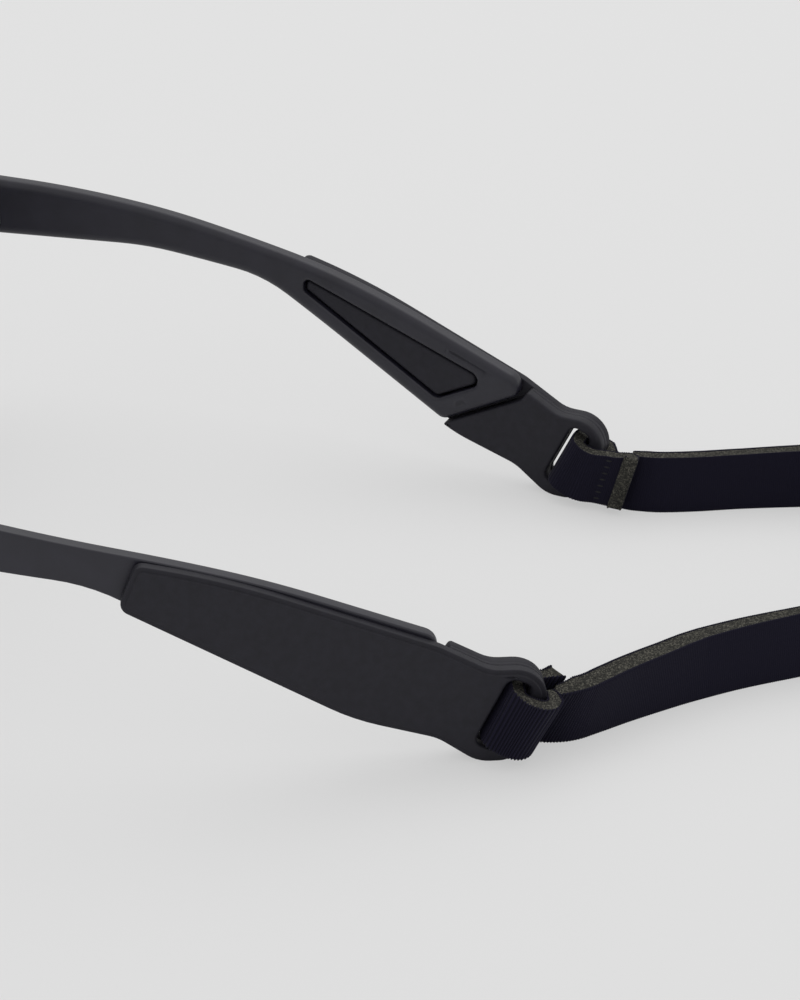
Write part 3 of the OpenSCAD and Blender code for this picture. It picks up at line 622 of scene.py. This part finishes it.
# Head strap: half-inch elastic with a ribbed knit face and lining bonded to speckled foam, cut to
# length. Each end goes through its slot, turns round the bar and is sewn back on itself.
STRAP_W_MM, STRAP_T_MM = 12.8, 3.0
RIB_MM, RIB_H_MM, SERRATION_MM = 0.43, 0.085, 0.16
CRUMB_MM, CRUMB_H_MM, FOAM_CELL_MM = 0.36, 0.09, 0.24
# The knit's crest tone is a painted highlight and its valley tone a painted shade
KNIT_CREST_HIGHLIGHT, KNIT_VALLEY_SHADE = "#1F1D2E", "#0A0913"
FOAM_DARK, FOAM_MID, FOAM_LIGHT, FOAM_MID_AT = "#232321", "#373632", "#5C5A52", 0.62
ROW_MM, FUZZ_MM, ROW_SHARE, FUZZ_SHARE = 0.5, 1 / 6, 0.35, 1.4
SKIN_MM, STRIP_MM = 0.42, 0.27
SLOT_CLEAR_MM = (SLOT_L_MM - STRAP_W_MM) / 2
LOOP_MID_MM = SLOT_CLEAR_MM + STRAP_W_MM / 2
SLOT_TURN = [(6.4, -3.4), (2.9, -2.4), (2.5, 1.05), (2.9, 4.2), (5.9, 5.3)]
LOOP_ROUTES = {"left": [(9.9, -4.3), (9.1, -3.8), (8.1, -3.5), *SLOT_TURN, (7.9, 5.2),
                        (9.0, 4.0), (9.2, 2.3), (8.7, 0.8)],
               "right": [(16.3, -4.4), (16.2, -3.5), (15.5, -2.6), (13.8, -2.4), (11.0, -2.6),
                         (8.8, -3.2), *SLOT_TURN, (8.0, 4.9), (9.3, 3.5), (10.2, 1.9),
                         (11.3, 0.8), (12.8, 0.5), (14.9, 0.3)]}
# Behind the slot the strap levels out over this stretch: from, to, and the degrees it ends at
LEVEL_FROM_MM, LEVEL_TO_MM, LEVEL_STEP_MM = 3.5, 9.0, 0.25
STRAP_FALL, RIB_LEAN = {"left": 5.0, "right": 2.0}, {"left": 25.5, "right": 15.0}
LOOP_WIDTH, LOOP_SAG_MM, LOOP_ROLL, PRESSED_RIBS = 0.93, 0.2, math.radians(4.5), 0.4
# Stretches of a loop in mm, and the share of the full size that it gains or loses there
FRAY_MM, FRAY_SHARE, SPREAD_FROM_MM, SPREAD_SHARE = 1.5, 0.45, 0.5, 0.09
PINCH_MM, PINCH_SHARE, DROOP_MM, DROOP_SHARE = 3, {"left": 0.5, "right": 0.45}, (18, 23), 0.14
ROLL_ON_MM, ROLL_OFF_MM, SPREAD_TO_MM = (13, 16), (19, 22), {"left": 4, "right": 5}
ROUTE_STEPS = 8

# The knit's colour has a random fuzz of tone, lighter on the rib crests and knit rows as painted
# highlight and darker in the valleys as painted shade
knit, tree = new_material("ribbed polyester knit, navy black")
ribbing = add_node(tree, "ShaderNodeAttribute", attribute_name="ribbing").outputs["Fac"]
uv = add_node(tree, "ShaderNodeUVMap", uv_map="strap").outputs["UV"]
parts = add_node(tree, "ShaderNodeSeparateXYZ", links={"Vector": uv}).outputs
phase = add_node(tree, "ShaderNodeMath", {1: 2 * math.pi / RIB_MM}, {0: parts["X"]},
                 operation="MULTIPLY")
rib = add_node(tree, "ShaderNodeMath", links={0: phase.outputs[0]}, operation="COSINE")
rows = add_node(tree, "ShaderNodeMath", {1: 2 * math.pi / ROW_MM}, {0: parts["Y"]},
                operation="MULTIPLY")
slant = add_node(tree, "ShaderNodeMath", links={0: rows.outputs[0], 1: phase.outputs[0]},
                 operation="ADD")
loops = add_node(tree, "ShaderNodeMath", links={0: slant.outputs[0]}, operation="SINE")
fuzz = add_node(tree, "ShaderNodeTexNoise", {"Scale": 1 / FUZZ_MM, "Detail": 3}, {"Vector": uv})
stitched = add_node(tree, "ShaderNodeMath", {1: ROW_SHARE},
                    {0: loops.outputs[0], 2: rib.outputs[0]}, operation="MULTIPLY_ADD")
height = add_node(tree, "ShaderNodeMath", links={0: stitched.outputs[0], 1: ribbing},
                  operation="MULTIPLY")
lit = add_node(tree, "ShaderNodeMath", {1: FUZZ_SHARE},
               {0: fuzz.outputs["Fac"], 2: height.outputs[0]}, operation="MULTIPLY_ADD")
colour = add_node(tree, "ShaderNodeMapRange", {"From Min": -0.6, "From Max": 2.2},
                  {"Value": lit.outputs[0]})
tint = add_node(tree, "ShaderNodeValToRGB", links={"Fac": colour.outputs["Result"]})
tint.color_ramp.elements[0].color = linear(KNIT_VALLEY_SHADE)
tint.color_ramp.elements[1].color = linear(KNIT_CREST_HIGHLIGHT)
bump = add_node(tree, "ShaderNodeBump", {"Strength": 0.5, "Distance": 0.05 * MM},
                {"Height": height.outputs[0]})
shader = add_node(tree, "ShaderNodeBsdfPrincipled",
                  {"Roughness": 0.9, "Specular IOR Level": 0.12, "Sheen Weight": 0.06,
                   "Sheen Roughness": 0.4},
                  {"Base Color": tint.outputs["Color"], "Normal": bump.outputs["Normal"]})
add_node(tree, "ShaderNodeOutputMaterial", links={"Surface": shader.outputs[0]})

foam, tree = new_material("speckled neoprene foam, cut edge")
place = add_node(tree, "ShaderNodeTexCoord").outputs["Object"]
crumbs = add_node(tree, "ShaderNodeTexVoronoi", {"Scale": 1 / (FOAM_CELL_MM * MM)},
                  {"Vector": place})
crumb_tone = add_node(tree, "ShaderNodeSeparateColor", links={"Color": crumbs.outputs["Color"]})
tint = add_node(tree, "ShaderNodeValToRGB", links={"Fac": crumb_tone.outputs[0]})
tint.color_ramp.elements[0].color = linear(FOAM_DARK)
tint.color_ramp.elements[1].color = linear(FOAM_LIGHT)
tint.color_ramp.elements.new(FOAM_MID_AT).color = linear(FOAM_MID)
bump = add_node(tree, "ShaderNodeBump", {"Strength": 0.7, "Distance": 0.12 * MM},
                {"Height": crumbs.outputs["Distance"]}, invert=True)
shader = add_node(tree, "ShaderNodeBsdfPrincipled", {"Roughness": 0.95, "Specular IOR Level": 0.2},
                  {"Base Color": tint.outputs["Color"], "Normal": bump.outputs["Normal"]})
add_node(tree, "ShaderNodeOutputMaterial", links={"Surface": shader.outputs[0]})

rib_tree, size = new_tree("knit ribs", {"Rib pitch": "Float", "Rib height": "Float",
                                        "Crumb size": "Float", "Crumb height": "Float"})
along, swell, crumb, is_foam = [
    add_node(rib_tree, "GeometryNodeInputNamedAttribute", {"Name": name},
             data_type=kind).outputs[0]
    for name, kind in (("along", "FLOAT"), ("swell", "FLOAT_VECTOR"), ("crumb", "FLOAT_VECTOR"),
                       ("foam", "BOOLEAN"))]
turns = add_node(rib_tree, "ShaderNodeMath", links={0: along, 1: size["Rib pitch"]},
                 operation="DIVIDE")
angle = add_node(rib_tree, "ShaderNodeMath", {1: 2 * math.pi}, {0: turns.outputs[0]},
                 operation="MULTIPLY")
wave = add_node(rib_tree, "ShaderNodeMath", links={0: angle.outputs[0]}, operation="COSINE")
rise = add_node(rib_tree, "ShaderNodeMath", links={0: wave.outputs[0], 1: size["Rib height"]},
                operation="MULTIPLY")
ribs = add_node(rib_tree, "ShaderNodeVectorMath", links={0: swell, "Scale": rise.outputs[0]},
                operation="SCALE")
finer = add_node(rib_tree, "ShaderNodeMath", {0: 1.0}, {1: size["Crumb size"]}, operation="DIVIDE")
noise = add_node(rib_tree, "ShaderNodeTexNoise", {"Detail": 2}, {"Scale": finer.outputs[0]})
centred = add_node(rib_tree, "ShaderNodeMath", {1: 0.5}, {0: noise.outputs["Fac"]},
                   operation="SUBTRACT")
lump = add_node(rib_tree, "ShaderNodeMath",
                links={0: centred.outputs[0], 1: size["Crumb height"]}, operation="MULTIPLY")
lumps = add_node(rib_tree, "ShaderNodeVectorMath", links={0: crumb, "Scale": lump.outputs[0]},
                 operation="SCALE")
both = add_node(rib_tree, "ShaderNodeVectorMath", links={0: ribs.outputs[0], 1: lumps.outputs[0]},
                operation="ADD")
moved = add_node(rib_tree, "GeometryNodeSetPosition",
                 links={"Geometry": size["Geometry"], "Offset": both.outputs[0]})
plain = add_node(rib_tree, "GeometryNodeRealizeInstances", links={"Geometry": moved.outputs[0]})
knitted = add_node(rib_tree, "GeometryNodeSetMaterial", {"Material": knit},
                   {"Geometry": plain.outputs[0]})
foamed = add_node(rib_tree, "GeometryNodeSetMaterial", {"Material": foam},
                  {"Geometry": knitted.outputs[0], "Selection": is_foam})
add_node(rib_tree, "NodeGroupOutput", links={"Geometry": foamed.outputs[0]})


def smooth(points, steps):
    """Smooth curve through points, with a number of steps between each two"""
    points = [Vector(p) for p in points]
    ends = [2 * points[0] - points[1], *points, 2 * points[-1] - points[-2]]
    line = []
    for a, b, c, d in zip(ends, ends[1:], ends[2:], ends[3:]):
        for j in range(steps):
            t = j / steps
            line.append(0.5 * (2 * b + (c - a) * t + (2 * a - 5 * b + 4 * c - d) * t * t
                               + (3 * b - a - 3 * c + d) * t * t * t))
    return line + [points[-1]]


def length_of(line):
    """Length along a line of points"""
    return sum((b - a).length for a, b in zip(line, line[1:]))


def evenly(line, step):
    """The line's points moved to lie a whole number of steps apart along it"""
    total = length_of(line)
    count = round(total / step)
    result, walked, i = [line[0]], 0.0, 0
    for k in range(1, count):
        goal = total * k / count
        while walked + (line[i + 1] - line[i]).length < goal:
            walked += (line[i + 1] - line[i]).length
            i += 1
        result.append(line[i].lerp(line[i + 1], (goal - walked) / (line[i + 1] - line[i]).length))
    return result + [line[-1]]


def strap_section():
    """Round the strap's section from the face's foot: outward, up, knit swell out and up, foam
    crumb up, and whether the next strip is foam. One face, the top edge, the lining, the foot."""
    half_t, half_w = STRAP_T_MM / 2, STRAP_W_MM / 2
    spread = (-0.985, -0.9, -0.6, -0.3, 0.0, 0.3, 0.6, 0.9, 0.985)
    section = [(half_t, half_w * v, 1, 0, 0, False) for v in spread]
    for way in (1, -1):
        edge = [(half_t - 0.06, half_w + 0.02, 0.5, 0.9, 0, False),
                (half_t - 0.3, half_w + 0.04, 0, 1.0, 0, False),
                (half_t - SKIN_MM, half_w - 0.12, 0, 0.3, 0.6, True)]
        edge += [(half_t - SKIN_MM - k * STRIP_MM, half_w - 0.1, 0, 0, 1.0, True)
                 for k in range(1, 8)]
        edge += [(-half_t + 0.3, half_w - 0.12, 0, 0.3, 0.6, False),
                 (-half_t + 0.2, half_w, 0, 1.0, 0, False),
                 (-half_t + 0.05, half_w - 0.02, -0.5, 0.6, 0, False)]
        if way < 0:
            # A flag is for the strip to the next point, so the way back takes the one before it
            flags = [point[5] for point in edge[-2::-1]] + [False]
            edge = [(n, -v, sn, -sv, -c, foam_next)
                    for (n, v, sn, sv, c, _), foam_next in zip(edge[::-1], flags)]
        section += edge
        if way > 0:
            section += [(-half_t, half_w * v, -1, 0, 0, False) for v in spread[::-1]]
    return section


SECTION = strap_section()


def outward(mesh):
    """The mesh of closed shells with its faces outward"""
    bm = bmesh.new()
    bm.from_mesh(mesh)
    bmesh.ops.recalc_face_normals(bm, faces=bm.faces)
    bm.to_mesh(mesh)
    bm.free()
    return mesh


def strap_mesh(name, line, place, face, foot_up, shape):
    """Knit strap along a plan line, in mm. face is the side of the line that the knit face is on,
    foot_up the height of its foot, and shape gives its shares of the full thickness and width, how
    deep its ribs are, how far they slant along it and how far it rolls over its face's foot at a
    distance along it."""
    verts, swells, crumbs, alongs, uvs, ribbings = [], [], [], [], [], []
    walked = 0.0
    total = length_of(line)
    for i, centre in enumerate(line):
        if i:
            walked += (centre - line[i - 1]).length
        way = (line[min(i + 1, len(line) - 1)] - line[max(i - 1, 0)]).normalized()
        side = Vector((-way.y, way.x)) * face
        thick, width, depth, slant, roll = shape(walked, total)
        origin = place(centre.x, centre.y, 0)
        out = place(centre.x + side.x, centre.y + side.y, 0) - origin
        up = place(centre.x, centre.y, 1) - origin
        ahead = place(centre.x + way.x, centre.y + way.y, 0) - origin
        foot = origin + out * STRAP_T_MM / 2
        out, up = (out * math.cos(roll) - up * math.sin(roll),
                   up * math.cos(roll) + out * math.sin(roll))
        # Thickness beyond the full one is gained on the lining's side, and the face stays
        origin = foot - out * STRAP_T_MM / 2 * max(thick, 1.0)
        for n, v, swell_n, swell_v, crumb_v, _ in SECTION:
            at = foot_up + (v + STRAP_W_MM / 2) * width
            verts.append(origin + out * n * thick + up * at + ahead * v * slant)
            swells.append((out * swell_n * thick + up * swell_v * SERRATION_MM / RIB_H_MM) * depth)
            ribbings.append(depth)
            crumbs.append(up * crumb_v)
            alongs.append(walked)
            uvs.append((walked, v + n))
    ring = len(SECTION)
    faces, foams = [], []
    for i in range(len(line) - 1):
        for k in range(ring):
            j = (k + 1) % ring
            faces.append((i * ring + k, i * ring + j, (i + 1) * ring + j, (i + 1) * ring + k))
            foams.append(SECTION[k][5])
    faces += [tuple(range(ring)), tuple((len(line) - 1) * ring + k for k in range(ring))]
    foams += [True, True]
    mesh = bpy.data.meshes.new(name)
    mesh.from_pydata(verts, [], faces)
    outward(mesh)
    mesh.attributes.new("along", "FLOAT", "POINT").data.foreach_set("value", alongs)
    mesh.attributes.new("ribbing", "FLOAT", "POINT").data.foreach_set("value", ribbings)
    for label, values in (("swell", swells), ("crumb", crumbs)):
        mesh.attributes.new(label, "FLOAT_VECTOR", "POINT").data.foreach_set(
            "vector", [x for value in values for x in value])
    mesh.attributes.new("foam", "BOOLEAN", "FACE").data.foreach_set("value", foams)
    layer = mesh.uv_layers.new(name="strap")
    layer.data.foreach_set("uv", [x for loop in mesh.loops for x in uvs[loop.vertex_index]])
    # The swells and crumbs are vectors of 1 mm, so the heights are in mm; noise swings by a half
    mesh = grown(rib_tree, {"Rib pitch": RIB_MM, "Rib height": RIB_H_MM,
                            "Crumb size": CRUMB_MM * MM, "Crumb height": CRUMB_H_MM * 2}, mesh)
    return smoothed(mesh)


def ramp(at, first, last):
    """Rises from 0 to 1 between two distances"""
    return min(1.0, max(0.0, (at - first) / (last - first)))


def in_strap(side):
    """Places rearward, outward and up of a strap that comes square out of its leaning slot and
    levels out behind it"""
    tip = on_tip(1 if side == "left" else -1)
    fall, lean = math.radians(STRAP_FALL[side]), math.radians(RIB_LEAN[side])

    def place(a, n, up):
        at = in_slot(min(a, LEVEL_FROM_MM), LOOP_MID_MM)
        walked = LEVEL_FROM_MM
        while walked < a:
            angle = SLOT_LEAN + (fall - SLOT_LEAN) * ramp(walked, LEVEL_FROM_MM, LEVEL_TO_MM)
            part = min(LEVEL_STEP_MM, a - walked)
            at = at + Vector((math.cos(angle), -math.sin(angle))) * part
            walked += LEVEL_STEP_MM
        angle = SLOT_LEAN + (lean - SLOT_LEAN) * ramp(a, LEVEL_FROM_MM, LEVEL_TO_MM)
        return tip(*(at + (up - LOOP_MID_MM) * Vector((math.sin(angle), math.cos(angle)))), n)
    return place


def left_shape(at, total):
    """The left loop's cut end is frayed thick and wide, its outer leg rolls outward, and it thins
    to its seam"""
    fray, pinch = 1 - ramp(at, 0, FRAY_MM), ramp(at, total - PINCH_MM, total)
    spread = 1 - ramp(at, SPREAD_FROM_MM, SPREAD_TO_MM["left"])
    return (1 + FRAY_SHARE * fray - PINCH_SHARE["left"] * pinch,
            LOOP_WIDTH + SPREAD_SHARE * spread, 1.0, 0.0,
            LOOP_ROLL * ramp(at, *ROLL_ON_MM) * (1 - ramp(at, *ROLL_OFF_MM)))


def right_shape(at, total):
    """The right loop stands upright, with shallow ribs, a square end and a drooping outer leg"""
    spread = 1 - ramp(at, SPREAD_FROM_MM, SPREAD_TO_MM["right"])
    return (1 - PINCH_SHARE["right"] * ramp(at, total - PINCH_MM, total),
            LOOP_WIDTH + SPREAD_SHARE * spread - DROOP_SHARE * ramp(at, *DROOP_MM),
            PRESSED_RIBS, 0.0, 0.0)


loops_made, seams_made = {}, {}
for side, shape in (("left", left_shape), ("right", right_shape)):
    loop_line = evenly(smooth(LOOP_ROUTES[side], ROUTE_STEPS), RIB_MM / 5)
    mesh = strap_mesh("loop_" + side, loop_line, in_strap(side), 1,
                      LOOP_MID_MM - LOOP_SAG_MM - LOOP_WIDTH * STRAP_W_MM / 2, shape)
    loops_made[side] = fitted("strap_loop_" + side + "_knit", mesh, None, "arm_" + side,
                              "knit_strap", "strap_loop_" + side)

# Seams: seven lockstitches of matte polyester thread across the strap close each loop on its
# inner side. Every stitch is one short float of thread, sunk a little into the knit.
THREAD_TONE, THREAD_SHADE = "#0F0F14", "#0A0A0E"
STITCHES, STITCH_L_MM, THREAD_R_MM = 7, 1.6, 0.24
STITCH_AT_MM, STITCH_OUT_MM = {"left": 6.4, "right": 10.9}, {"left": -4.78, "right": -3.9}
thread = moulded("polyester sewing thread", THREAD_TONE, THREAD_SHADE, mottle_mm=0.5,
                 grain_mm=0.08, depth_mm=0.01, roughness=0.8)
stitch_tree, size = new_tree("lockstitches", {"Stitches": "Int", "Pitch": "Float",
                                              "Stitch length": "Float", "Thread radius": "Float"})
offset = add_node(stitch_tree, "ShaderNodeCombineXYZ", links={"Z": size["Pitch"]})
spots = add_node(stitch_tree, "GeometryNodeMeshLine",
                 links={"Count": size["Stitches"], "Offset": offset.outputs[0]})
bead = add_node(stitch_tree, "GeometryNodeMeshUVSphere",
                {"Segments": 16, "Rings": 10, "Radius": 1.0})
half = add_node(stitch_tree, "ShaderNodeMath", {1: 0.5}, {0: size["Stitch length"]},
                operation="MULTIPLY")
bead_size = add_node(stitch_tree, "ShaderNodeCombineXYZ",
                     links={"X": half.outputs[0], "Y": size["Thread radius"],
                            "Z": size["Thread radius"]})
float_of_thread = add_node(stitch_tree, "GeometryNodeTransform",
                           links={"Geometry": bead.outputs["Mesh"],
                                  "Scale": bead_size.outputs[0]})
row = add_node(stitch_tree, "GeometryNodeInstanceOnPoints",
               links={"Points": spots.outputs["Mesh"], "Instance": float_of_thread.outputs[0]})
end_tree(stitch_tree, row.outputs[0], thread)

stitch_pitch = STRAP_W_MM / (STITCHES + 1)
for side in ("left", "right"):
    mesh = grown(stitch_tree, {"Stitches": STITCHES, "Pitch": stitch_pitch,
                               "Stitch length": STITCH_L_MM, "Thread radius": THREAD_R_MM})
    place = in_strap(side)
    # The row is grown in mm, and laid point by point on the leaning strap
    for vert in mesh.vertices:
        vert.co = place(STITCH_AT_MM[side] + STITCH_L_MM / 2 + vert.co.x,
                        STITCH_OUT_MM[side] + vert.co.y,
                        SLOT_CLEAR_MM + stitch_pitch + vert.co.z)
    seams_made[side] = fitted("strap_seam_" + side + "_thread", smoothed(outward(mesh)), thread,
                              "arm_" + side, "thread", "strap_seam_" + side)

# The strap's long run between the seams lies on edge on the table in one free curve. It is one
# elastic band; its two halves meet where it turns.
BAND_ROUTE = [(43.4, 9.2), (43.3, 12.0), (41.9, 15.4), (38.9, 19.0), (34.4, 24.0), (28.6, 31.0),
              (25.2, 35.4), (20.4, 42.2), (16.2, 49.1), (12.4, 56), (7.5, 65), (1, 75), (-8, 84.3),
              (-19, 89.8), (-32, 90.6), (-43, 86), (-50.8, 77.5), (-54.6, 67), (-55, 58),
              (-53.9, 52), (-52.3, 45.2), (-50.4, 38), (-47.9, 30), (-46.2, 23), (-45.9, 18.5),
              (-46.2, 14.6)]
BAND_STEP_MM, CORD_STEP_MM, APEX_AT = 0.1, 3.0, 0.52
STRAP_LOW_MM = 0.1
BAND_MID_MM = STRAP_LOW_MM + STRAP_W_MM / 2
# Stretches of each half from its seam, in mm, and the share that it gains or loses there
BAND_PINCH, BAND_PINCH_MM, BAND_RIBS, SLANT_MM = 0.5, 3, 0.22, 14
BAND_THICK, BAND_THINNING, BAND_THIN_MM = 1.38, 0.5, (30, 58)
BAND_WIDENING, BAND_WIDE_MM, BAND_ROLL, BAND_ROLL_MM = 0.085, (25, 55), math.radians(16), 34


def on_table(x, y, z):
    """Places across, behind the tips and up on the table"""
    return Vector((x, y + TIP_Y_MM, z)) * MM


def swelling(at):
    """Share of its thickness that a half has as it comes out of its seam"""
    return BAND_PINCH + (1 - BAND_PINCH) * math.sqrt(ramp(at, 0, BAND_PINCH_MM))


def left_run(at, total):
    """The left half swells from the pinch of its seam and stays thick for a while. It leaves the
    leaning bar with slanted, deep ribs and its top rolled outward, and straightens, widens and
    smooths along its way."""
    fade = 1 - ramp(at, 0, SLANT_MM)
    return (swelling(at) * (BAND_THICK - BAND_THINNING * ramp(at, *BAND_THIN_MM)),
            1 + BAND_WIDENING * ramp(at, *BAND_WIDE_MM), BAND_RIBS + (1 - BAND_RIBS) * fade ** 2,
            math.tan(SLOT_LEAN) * fade, BAND_ROLL * (1 - ramp(at, 0, BAND_ROLL_MM)))


def right_run(at, total):
    """The right half does the same with shallow ribs, but stands upright and isn't thicker"""
    return (swelling(at), 1 + BAND_WIDENING * ramp(at, *BAND_WIDE_MM), BAND_RIBS,
            math.tan(math.radians(RIB_LEAN["right"])) * (1 - ramp(at, 0, SLANT_MM)), 0.0)


band_line = evenly(smooth(BAND_ROUTE, ROUTE_STEPS), BAND_STEP_MM)
apex = round(len(band_line) * APEX_AT)
halves = {"left": band_line[:apex + 1], "right": band_line[apex:][::-1]}
for side, face, shape in (("left", -1, left_run), ("right", 1, right_run)):
    line = evenly(halves[side], RIB_MM / 4)
    mesh = strap_mesh("band_" + side, line, on_table, face, STRAP_LOW_MM, shape)
    piece = fitted("strap_band_" + side + "_knit", mesh, None, None, "knit_strap", "strap_band")
    route = [on_table(p.x, p.y, BAND_MID_MM) for p in evenly(line, CORD_STEP_MM)]
    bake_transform(piece)
    length_of(line) * MM
